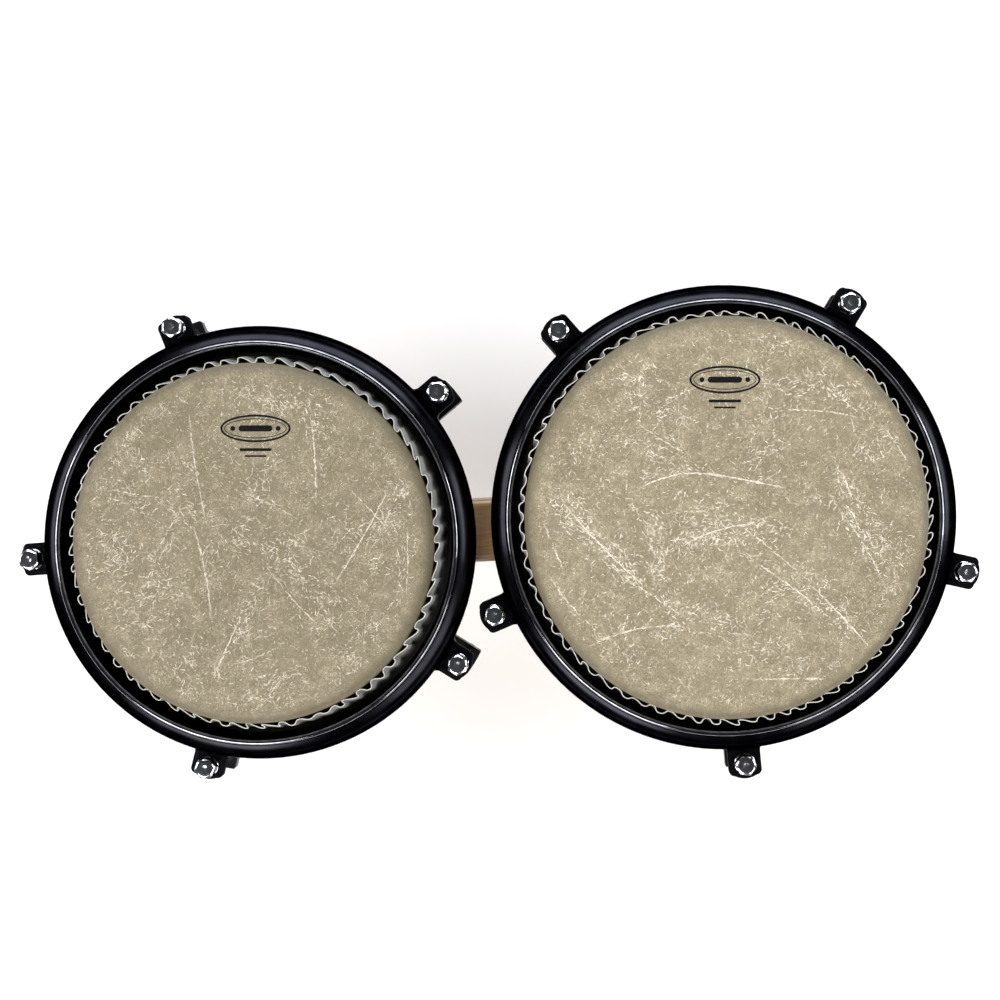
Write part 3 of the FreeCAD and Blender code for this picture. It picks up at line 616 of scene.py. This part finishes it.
def rim_bead(drum, material):
    """The rounded bead along the rim's inner edge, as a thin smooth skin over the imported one."""
    centre_r = drum.hoop_outer + RIM_GAP + BEAD_RADIUS
    last_deg = 360 - 360 / BEAD_FACETS
    section = arc(centre_r, drum.rim_top - BEAD_RADIUS, BEAD_RADIUS + BEAD_SKIN, 0, last_deg, BEAD_FACETS - 1)
    points, faces = turned_ring(section, HEAD_COLUMNS, drum.x, drum.y)
    made = mesh_object(f"{drum.name}_rim_bead", points, faces, [material])
    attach(made, f"{drum.name}_rim_set")


# Heads

def head_path(drum):
    """The film's middle surface from the axis, over the shoulder and round the flesh hoop to the tail."""
    half = FILM_THICKNESS / 2
    wrap = WRAP_GAP + half
    corner = HOOP_CORNER + wrap
    flat_end = drum.film_radius - SHOULDER_RADIUS
    centre_z = drum.top - SHOULDER_RADIUS
    inner, outer = drum.hoop_inner + HOOP_CORNER, drum.hoop_outer - HOOP_CORNER
    low, high = drum.hoop_bottom + HOOP_CORNER, drum.hoop_top - HOOP_CORNER
    path = [(0, drum.top - half)]
    path += [(flat_end * share, drum.top - half) for share in (0.3, 0.6, 0.85, 0.97)]
    path += arc(flat_end, centre_z, SHOULDER_RADIUS - half, 90, 0, 10)
    path.append((drum.film_radius - half, centre_z - COLLAR_UPRIGHT))
    start = np.array(path[-1])
    end = np.array((inner - corner, low))
    path += [tuple(start + (end - start) * share) for share in (0.25, 0.5, 0.75)]
    path += arc(inner, low, corner, 180, 270, 4)
    path += arc(outer, low, corner, 270, 360, 4)
    path += arc(outer, high, corner, 0, 90, 4)
    path.append((drum.wrap_end, drum.hoop_top + wrap))
    return path


def head_skin(drum):
    """The film as one closed thin skin that bends between the shell and its hoop."""
    path = head_path(drum)
    half = FILM_THICKNESS / 2
    outside = offset_path(path, half)
    inside = offset_path(path, -half)
    outline = [(0, drum.top)] + outside[1:] + inside[:0:-1] + [(0, drum.top - FILM_THICKNESS)]
    points, faces = lathe(outline, HEAD_COLUMNS, drum.x, drum.y)
    made = mesh_object(f"{drum.name}_head_skin", points, faces, [film_finish(drum)])
    sharpen(made)
    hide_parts(drum.node("head_film"), drum.node("head_collar"))
    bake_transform(made)


def periodic(values, at):
    """Smooth interpolation between values spaced evenly round a closed loop."""
    count = len(values)
    index = np.floor(at).astype(int)
    share = at - index
    share = share * share * (3 - 2 * share)
    return values[index % count] * (1 - share) + values[(index + 1) % count] * share


def tail(drum, film, edge):
    """The crimped tail: a strip folded to and fro round the head, with a curl here and there."""
    base = drum.wrap_end
    bottom = drum.hoop_top + WRAP_GAP
    waves = round(2 * math.pi * base / TAIL_PITCH)
    steps = waves * TAIL_STEPS
    random = drum.random
    swing = random.uniform(0.45, 1.30, waves)
    lean = random.normal(0, 0.3, waves)
    shear = random.normal(0.05, 0.05, waves)
    curls = random.random(waves) < CURL_CHANCE
    shear[curls] = random.uniform(0.17, 0.25, curls.sum())
    drift = np.cumsum(random.normal(0, 0.18, waves))
    drift -= np.linspace(0, drift[-1], waves)
    at = np.arange(steps) / TAIL_STEPS
    phase = 2 * math.pi * at
    pitch_angle = 2 * math.pi / waves
    radial = periodic(swing, at) * np.sin(phase) + 0.30 * periodic(lean, at)
    along = periodic(shear, at) * np.sin(phase) - 0.03 * np.sin(2 * phase) + periodic(drift, at) * 0.5
    rows = []
    for level in np.linspace(0, 1, TAIL_ROWS):
        growth = level ** 0.85
        centre = base + drum.tail_lean * level
        r = np.maximum(centre + drum.tail_swing * growth * radial, drum.film_radius + TAIL_CLEARANCE)
        angle = pitch_angle * (at + growth * along)
        height = bottom + (drum.tail_top - bottom) * level
        wave_height = level * TAIL_EDGE_WAVE * periodic(lean, at + 0.35)
        rows.append(np.stack([drum.x + r * np.cos(angle), drum.y + r * np.sin(angle),
                              np.full(steps, height) + wave_height], axis=1))
    grid = np.array(rows)
    ahead = np.roll(grid, -1, axis=1) - np.roll(grid, 1, axis=1)
    upward = np.gradient(grid, axis=0)
    normal = np.cross(ahead, upward)
    normal /= np.linalg.norm(normal, axis=2, keepdims=True)
    half = TAIL_THICKNESS / 2
    points = np.concatenate([(grid + normal * half).reshape(-1, 3), (grid - normal * half).reshape(-1, 3)])
    faces, marks = tail_faces(steps)
    made = mesh_object(f"{drum.name}_head_tail", points, faces, [film, edge])
    made.data.polygons.foreach_set("material_index", marks)
    sharpen(made, 60)
    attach(made, f"{drum.name}_rim_set")


def tail_faces(steps):
    """Faces of the closed strip, and 1 for those along its top edge."""
    faces, marks = [], []
    back = steps * TAIL_ROWS
    for k in range(steps):
        after = (k + 1) % steps
        for row in range(TAIL_ROWS - 1):
            low, high = row * steps, (row + 1) * steps
            faces.append((low + k, low + after, high + after, high + k))
            faces.append((back + low + after, back + low + k, back + high + k, back + high + after))
            marks += [0, 0]
        top = (TAIL_ROWS - 1) * steps
        faces.append((top + k, top + after, back + top + after, back + top + k))
        faces.append((after, k, back + k, back + after))
        marks += [1, 0]
    return faces, marks


# Fibres

def strands(drum, centre, length, heading, bend, twist, tone):
    """The points of raised three-sided fibres that taper to both ends."""
    count = len(length)
    t = np.linspace(0, 1, FIBRE_STATIONS)
    turn = heading[:, None] + bend[:, None] * (t - 0.5) + twist[:, None] * np.sin(2 * math.pi * t)
    step = length[:, None] / (FIBRE_STATIONS - 1)
    path = np.cumsum(np.stack([np.cos(turn), np.sin(turn)], axis=2) * step[..., None], axis=1)
    path += (centre - path.mean(axis=1))[:, None, :]
    normal = np.stack([-np.sin(turn), np.cos(turn)], axis=2)
    taper = np.sqrt(np.sin(math.pi * t))
    wide = (FIBRE_WIDTH / 2) * (0.35 + 0.4 * drum.random.random(count) + 0.9 * tone)[:, None] * taper
    top = drum.top
    parts = []
    for side, z in ((1, top - FIBRE_BURY), (0, top + FIBRE_RELIEF), (-1, top - FIBRE_BURY)):
        flat = path + side * normal * wide[..., None]
        level = np.full((count, FIBRE_STATIONS, 1), z)
        level[:, [0, -1]] = top - FIBRE_BURY
        parts.append(np.concatenate([flat, level], axis=2))
    points = np.stack(parts, axis=2)
    points[..., 0] += drum.x
    points[..., 1] += drum.y
    return points


def strand_faces(count):
    """Faces of closed strands whose two end sections have shrunk to a point."""
    quads = []
    for s in range(FIBRE_STATIONS - 1):
        for side in range(3):
            a, b = 3 * s + side, 3 * s + (side + 1) % 3
            quads.append((a, b, b + 3, a + 3))
    quads = np.array(quads)
    return (quads[None] + (np.arange(count) * FIBRE_STATIONS * 3)[:, None, None]).reshape(-1, 4)


def scattered(drum, count):
    """Places spread evenly over the flat of the film, from its centre."""
    radius = (drum.film_radius - SHOULDER_RADIUS) * np.sqrt(drum.random.random(count))
    angle = drum.random.uniform(0, 2 * math.pi, count)
    return np.stack([radius * np.cos(angle), radius * np.sin(angle)], axis=1)


def felt(drum):
    """Faint fibres everywhere: their centres, headings, tones and lengths."""
    random = drum.random
    count = int(FELT_PER_MM2 * math.pi * (drum.film_radius / MM) ** 2)
    tone = 0.05 + 0.90 * random.random(count) ** 1.9
    length = np.clip(random.lognormal(math.log(1.6), 0.45, count), 0.7, 4.5) * MM
    return scattered(drum, count), random.uniform(0, math.pi, count), tone, length


def clump(drum, across, up, along, beside, direction, count, strength=1.0):
    """Fibres strung into broken hairs, which gather round a place and are drawn out along a direction."""
    random = drum.random
    count = round(count * CLUMP_DENSITY)
    a = math.radians(direction)
    hairs = max(count // HAIR_FIBRES, 1)
    u, v = random.normal(0, along * MM, hairs), random.normal(0, beside * MM, hairs)
    middle = np.stack([u * math.cos(a) - v * math.sin(a), u * math.sin(a) + v * math.cos(a)], axis=1)
    lie, curve = a + random.normal(0, 0.75, hairs), random.normal(0, 0.9, hairs)
    reach = HAIR_LENGTH * random.uniform(0.3, 1.7, hairs)
    of, t = random.integers(0, hairs, count), random.uniform(-0.5, 0.5, count)
    chord, heading = lie[of] + curve[of] * t / 2, lie[of] + curve[of] * t
    centre = middle[of] + (reach[of] * t)[:, None] * np.stack([np.cos(chord), np.sin(chord)], axis=1)
    centre += np.array([across, up]) * drum.film_radius + random.normal(0, 0.14 * MM, (count, 2))
    tone = strength * (0.25 + 0.75 * random.random(count) ** 0.8)
    length = np.clip(random.lognormal(math.log(1.9), 0.45, count), 0.8, 5.0) * MM
    return centre, heading + random.normal(0, 0.30, count), tone, length


def streak(drum, across, up, length, direction, bend, count):
    """Fibres strung out along a line or an arc."""
    random = drum.random
    count = round(count * STREAK_DENSITY)
    t = random.uniform(-0.5, 0.5, count)
    heading = math.radians(direction) + math.radians(bend) * t
    middle = math.radians(direction) + math.radians(bend) * t / 2
    reach = length * MM * t
    centre = np.stack([reach * np.cos(middle), reach * np.sin(middle)], axis=1)
    centre += np.array([across, up]) * drum.film_radius + random.normal(0, 0.20 * MM, (count, 2))
    tone = random.uniform(0.40, 1.0, count) * (1 - 0.5 * (2 * np.abs(t)) ** 3)
    size = np.clip(random.lognormal(math.log(2.2), 0.4, count), 1.0, 6.0) * MM
    return centre, heading + random.normal(0, 0.14, count), tone, size


def laid(drum, name, groups, finishes):
    """One piece of fibres from groups of centres, headings, tones and lengths, clear of the film's bend."""
    centre, heading, tone, length = (np.concatenate(part) for part in zip(*groups))
    kept = np.hypot(centre[:, 0], centre[:, 1]) + length / 2 < drum.film_radius - SHOULDER_RADIUS
    centre, heading, tone, length = centre[kept], heading[kept], tone[kept], length[kept]
    count = len(tone)
    bend, twist = drum.random.normal(0, 0.40, count), drum.random.normal(0, 0.13, count)
    points = strands(drum, centre, length, heading, bend, twist, tone)
    made = mesh_object(name, points.reshape(-1, 3), strand_faces(count), finishes)
    shades = np.clip(tone * FIBRE_SHADES, 0, FIBRE_SHADES - 1).astype(np.int32)
    made.data.polygons.foreach_set("material_index", np.repeat(shades, 3 * (FIBRE_STATIONS - 1)))
    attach(made, "shells")


def fibres(drum):
    """The pale fibres pressed into the film: an even felt, drawn-out clumps and streaks."""
    random = drum.random
    finishes = fibre_finishes(drum)
    laid(drum, f"{drum.name}_head_felt", [felt(drum)], finishes)
    groups = [clump(drum, *values) for values in drum.clumps]
    groups += [streak(drum, *values) for values in drum.streaks]
    for across, up in scattered(drum, SMALL_CLUMP_COUNT) / drum.film_radius:
        along, beside = random.uniform(1.5, 6.0), random.uniform(0.8, 2.5)
        direction, strength = random.uniform(0, 180), random.uniform(0.4, 0.95)
        groups.append(clump(drum, across, up, along, beside, direction, SMALL_CLUMP_FIBRES, strength))
    laid(drum, f"{drum.name}_head_fibres", groups, finishes)


# Print

def flat_band(outer, inner, bottom, top):
    """A closed flat band between two loops of the same number of points."""
    count = len(outer)
    points = [(x, y, z) for z in (bottom, top) for loop in (outer, inner) for x, y in loop]
    faces = []
    for k in range(count):
        n = (k + 1) % count
        for a, b in ((0, 1), (1, 3), (3, 2), (2, 0)):
            faces.append((a * count + k, b * count + k, b * count + n, a * count + n))
    return points, faces


def flat_shape(loop, bottom, top):
    """A closed flat plate with the outline of one loop."""
    count = len(loop)
    points = [(x, y, z) for z in (bottom, top) for x, y in loop]
    faces = [tuple(range(count))[::-1], tuple(range(count, 2 * count))]
    faces += [(k, (k + 1) % count, count + (k + 1) % count, count + k) for k in range(count)]
    return points, faces


def oval(width, height, columns=OVAL_COLUMNS, x=0.0):
    """A loop round an oval whose middle is x to the side."""
    angles = np.arange(columns) * 2 * math.pi / columns
    return [(x + width / 2 * math.cos(a), height / 2 * math.sin(a)) for a in angles]


def bar(y, width, height):
    """A loop round a level bar with round ends."""
    radius = height / 2
    right = arc(width / 2 - radius, y, radius, -90, 90, 6)
    left = arc(radius - width / 2, y, radius, 90, 270, 6)
    return right + left


def head_print(drum, material):
    """A plain printed badge: two thin ovals, a bar between dots, and two rules below."""
    bottom, top = drum.top - FIBRE_BURY, drum.top + PRINT_HEIGHT
    shapes = [flat_band(oval(*outer), oval(*inner), bottom, top) for outer, inner in BADGE_BANDS]
    shapes += [flat_shape(bar(*sizes), bottom, top) for sizes in BADGE_BARS]
    for x in (-BADGE_DOT_OFFSET, BADGE_DOT_OFFSET):
        shapes.append(flat_shape(oval(BADGE_DOT, BADGE_DOT, DOT_COLUMNS, x), bottom, top))
    points, faces = [], []
    for shape_points, shape_faces in shapes:
        faces += [tuple(i + len(points) for i in face) for face in shape_faces]
        points += shape_points
    c, s = math.cos(PRINT_TURN), math.sin(PRINT_TURN)
    x0, y0 = drum.x + drum.print_x, drum.y + drum.print_y
    points = [(x0 + x * c - y * s, y0 + x * s + y * c, z) for x, y, z in points]
    made = mesh_object(f"{drum.name}_head_print", points, faces, [material], smooth=False)
    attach(made, "shells")


# Tuning bolts

def hex_radius(angle, flats):
    """Distance from the centre to the side of a hexagon, with its corners just broken."""
    sector = (angle + math.pi / 6) % (math.pi / 3) - math.pi / 6
    return min(flats / 2 / math.cos(sector), flats / math.sqrt(3) * 0.985)


def head_levels(high, under_head, sides):
    """(radii, heights) of the rings down a bolt's head: dimple, face, chamfer and sides."""
    slope = math.tan(math.radians(HEAD_CHAMFER_DEG))
    drops = [slope * (side - HEAD_FACE_RADIUS) for side in sides]
    face_end = high - HEAD_FACE_DROP
    face = ((0.4 * DIMPLE_RADIUS, DIMPLE_DEPTH), (DIMPLE_RADIUS, 0.05 * MM), (1.2 * DIMPLE_RADIUS, 0),
            (HEAD_FACE_RADIUS - HEAD_FACE_ROUND, 0), (HEAD_FACE_RADIUS, HEAD_FACE_DROP))
    levels = [([radius] * BOLT_COLUMNS, [high - drop] * BOLT_COLUMNS) for radius, drop in face]
    halfway = [(side + HEAD_FACE_RADIUS) / 2 for side in sides]
    levels.append((halfway, [face_end - drop / 2 for drop in drops]))
    levels.append(([side - HEAD_EDGE_BREAK for side in sides], [face_end - drop for drop in drops]))
    levels.append((sides, [high - HEAD_EDGE_DROP - drop for drop in drops]))
    levels.append((sides, [under_head + HEAD_FOOT_ROUND] * BOLT_COLUMNS))
    levels.append(([side - HEAD_FOOT_ROUND for side in sides], [under_head] * BOLT_COLUMNS))
    return levels


def shank_levels(low, under_head, angles):
    """(radii, heights) of the rings down a bolt's smooth neck and its cut thread."""
    thread_top = low + THREAD_LENGTH
    plain = ((SHANK_RADIUS + 0.5 * MM, under_head), (SHANK_RADIUS, under_head - 0.3 * MM),
             (SHANK_RADIUS, thread_top))
    levels = [([radius] * BOLT_COLUMNS, [z] * BOLT_COLUMNS) for radius, z in plain]
    count = int(THREAD_LENGTH / THREAD_PITCH * THREAD_ROWS)
    for k in range(1, count):
        z = thread_top - THREAD_LENGTH * k / count
        fade = min(1.0, k / (THREAD_ROWS * THREAD_FADE_IN), (count - k) / (THREAD_ROWS * THREAD_FADE_OUT))
        radii = []
        for a in angles:
            share = (z / THREAD_PITCH - a / (2 * math.pi)) % 1.0
            radii.append(SHANK_RADIUS - THREAD_DEPTH * fade * (1 - abs(2 * share - 1)))
        levels.append((radii, [z] * BOLT_COLUMNS))
    levels.append(([SHANK_RADIUS - THREAD_TIP_CHAMFER] * BOLT_COLUMNS, [low] * BOLT_COLUMNS))
    return levels


def bolt_shape(low, high, under_head, turn):
    """Points and faces of a hexagon-headed bolt about its own axis, closed at both ends."""
    angles = [2 * math.pi * k / BOLT_COLUMNS for k in range(BOLT_COLUMNS)]
    sides = [hex_radius(a + turn, HEAD_FLATS) for a in angles]
    levels = head_levels(high, under_head, sides) + shank_levels(low, under_head, angles)
    points = []
    for radii, heights in levels:
        points += [(r * math.cos(a), r * math.sin(a), z) for a, r, z in zip(angles, radii, heights)]
    faces = []
    for start in range(0, len(points) - BOLT_COLUMNS, BOLT_COLUMNS):
        below = start + BOLT_COLUMNS
        for k in range(BOLT_COLUMNS):
            n = (k + 1) % BOLT_COLUMNS
            faces.append((start + k, below + k, below + n, start + n))
    faces.append(tuple(range(BOLT_COLUMNS)))
    faces.append(tuple(range(len(points) - BOLT_COLUMNS, len(points)))[::-1])
    return points, faces


def washers(drum, chrome):
    """The washers under the tuning bolts' heads, with their outer edges rounded."""
    node = drum.node("tuning_washers")
    low, high = (corner.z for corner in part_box(node))
    section = arc(WASHER_RADIUS - WASHER_ROUND, high - WASHER_ROUND, WASHER_ROUND, 0, 90, 8)
    section += [(WASHER_BORE_RADIUS, high), (WASHER_BORE_RADIUS, low), (WASHER_RADIUS, low)]
    points, faces = [], []
    for number in range(1, BOLT_COUNT + 1):
        axis = sum(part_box(drum.node(f"tuning_bolt_{number}")), Vector()) / 2
        ring, ring_faces = turned_ring(section, WASHER_COLUMNS, axis.x, axis.y)
        faces += [[i + len(points) for i in face] for face in ring_faces]
        points += ring
    made = mesh_object(f"{drum.name}_washers", points, faces, [chrome])
    sharpen(made)
    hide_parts(node)
    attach(made, f"{drum.name}_rim_set")


def tuning_bolts(drum, chrome):
    """The five bolts, each about its own axis with its head turned at random."""
    washer_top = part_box(drum.node("tuning_washers"))[1].z
    for number in range(1, BOLT_COUNT + 1):
        node = drum.node(f"tuning_bolt_{number}")
        low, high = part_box(node)
        turn = drum.random.uniform(0, math.pi / 3)
        points, faces = bolt_shape(low.z, high.z, washer_top + HEAD_SEAT_GAP, turn)
        made = mesh_object(f"{drum.name}_bolt_{number}", points, faces, [chrome])
        sharpen(made, 28)
        made.location = ((low.x + high.x) / 2, (low.y + high.y) / 2, 0)
        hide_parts(node)
        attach(made, f"{drum.name}_bolt_{number}")


# Stage

def stage():
    """A pale, faintly glowing floor under softboxes that leave the black parts dark from straight above."""
    finish = Finish("floor", 0.8)
    finish.colour(finish.mix(finish.span(finish.noise(0.25, 2), 0.3, 0.7), (0.93, 0.93, 0.93, 1),
                             (0.95, 0.95, 0.95, 1)))
    finish.shader.inputs["Emission Color"].default_value = (1.0, 1.0, 1.0, 1)
    finish.shader.inputs["Emission Strength"].default_value = FLOOR_GLOW
    size = FLOOR_HALF_SIZE
    corners = [(-size, -size, 0), (size, -size, 0), (size, size, 0), (-size, size, 0)]
    floor = mesh_object("floor", corners, [(0, 1, 2, 3)], [finish.material], smooth=False)
    for softbox in SOFTBOXES:
        area_light(*softbox)
    room_light()


def room_light():
    """A dim even light from all round, behind a backdrop that looks white."""
    world = bpy.data.worlds.new("room")
    world.use_nodes = True
    tree = world.node_tree
    background = tree.nodes["Background"]
    background.inputs["Color"].default_value = (0.85, 0.90, 1.0, 1)
    background.inputs["Strength"].default_value = ROOM_STRENGTH
    backdrop = tree.nodes.new("ShaderNodeBackground")
    backdrop.inputs["Color"].default_value = (1.0, 1.0, 1.0, 1)
    seen = tree.nodes.new("ShaderNodeLightPath")
    choice = tree.nodes.new("ShaderNodeMixShader")
    tree.links.new(seen.outputs["Is Camera Ray"], choice.inputs[0])
    tree.links.new(background.outputs[0], choice.inputs[1])
    tree.links.new(backdrop.outputs[0], choice.inputs[2])
    tree.links.new(choice.outputs[0], tree.nodes["World Output"].inputs["Surface"])
    bpy.context.scene.world = world


def area_light(name, place, width, depth, watts, colour):
    """A rectangular softbox that faces the drums."""
    light = bpy.data.lights.new(name, "AREA")
    light.shape = "RECTANGLE"
    light.size, light.size_y = width, depth
    light.energy = watts
    light.color = colour
    made = bpy.data.objects.new(name, light)
    made.location = place
    made.rotation_euler = (LIGHT_AIM - made.location).to_track_quat("-Z", "Y").to_euler()
    bpy.context.scene.collection.objects.link(made)


def camera():
    """Nearly straight down, from a little to the large drum's side."""
    data = bpy.data.cameras.new("camera")
    data.sensor_width = SENSOR_WIDTH_MM
    data.lens = LENS_MM
    data.shift_x, data.shift_y = CAMERA_SHIFT
    made = bpy.data.objects.new("camera", data)
    made.location = CAMERA_PLACE
    made.rotation_euler = [math.radians(turn) for turn in CAMERA_TURN_DEG]
    bpy.context.scene.collection.objects.link(made)
    bpy.context.scene.camera = made


def finish_hardware():
    """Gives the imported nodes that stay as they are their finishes, and returns the chrome for the rest."""
    lug_paint = black_paint("lug_paint", 0.36, 0.22 * MM, 0.6 * MM)
    chrome = metal("chrome", (0.80, 0.81, 0.84, 1), 0.10, 0.14)
    zinc = metal("zinc", (0.52, 0.53, 0.55, 1), 0.28, 0.14)
    steel = metal("steel", (0.46, 0.46, 0.45, 1), 0.32, 0.12)
    blackened = metal("blackened_steel", (0.060, 0.060, 0.064, 1), 0.34, 0.12)
    black_rubber = rubber("rubber")
    for drum in DRUMS:
        paint_node(drum.node("shell"), shell_finish(drum))
        paint_node(drum.node("rim"), rim_paint(drum))
        paint_node(drum.node("flesh_hoop"), steel)
        paint_node(drum.node("lug_inserts"), blackened)
        paint_node(drum.node("lug_screws"), zinc)
        for part in ("lug_gaskets", "foot_ring", "block_pad"):
            paint_node(drum.node(part), black_rubber)
        for number in range(1, BOLT_COUNT + 1):
            paint_node(drum.node(f"lug_{number}"), lug_paint)
    paint_node("centre_block", block_finish())
    for part in ("centre_bolts", "centre_washers", "centre_nuts"):
        paint_node(part, zinc)
    return chrome


def main():
    chrome = finish_hardware()
    ink, gloss = print_finish(), bead_paint()
    tail_film, cut_edge = tail_finish(), cut_edge_finish()
    for drum in DRUMS:
        rim_bead(drum, gloss)
        head_skin(drum)
        tail(drum, tail_film, cut_edge)
        fibres(drum)
        head_print(drum, ink)
        washers(drum, chrome)
        tuning_bolts(drum, chrome)
    stage()
    camera()
    bpy.context.scene.view_settings.view_transform = "Standard"


main()
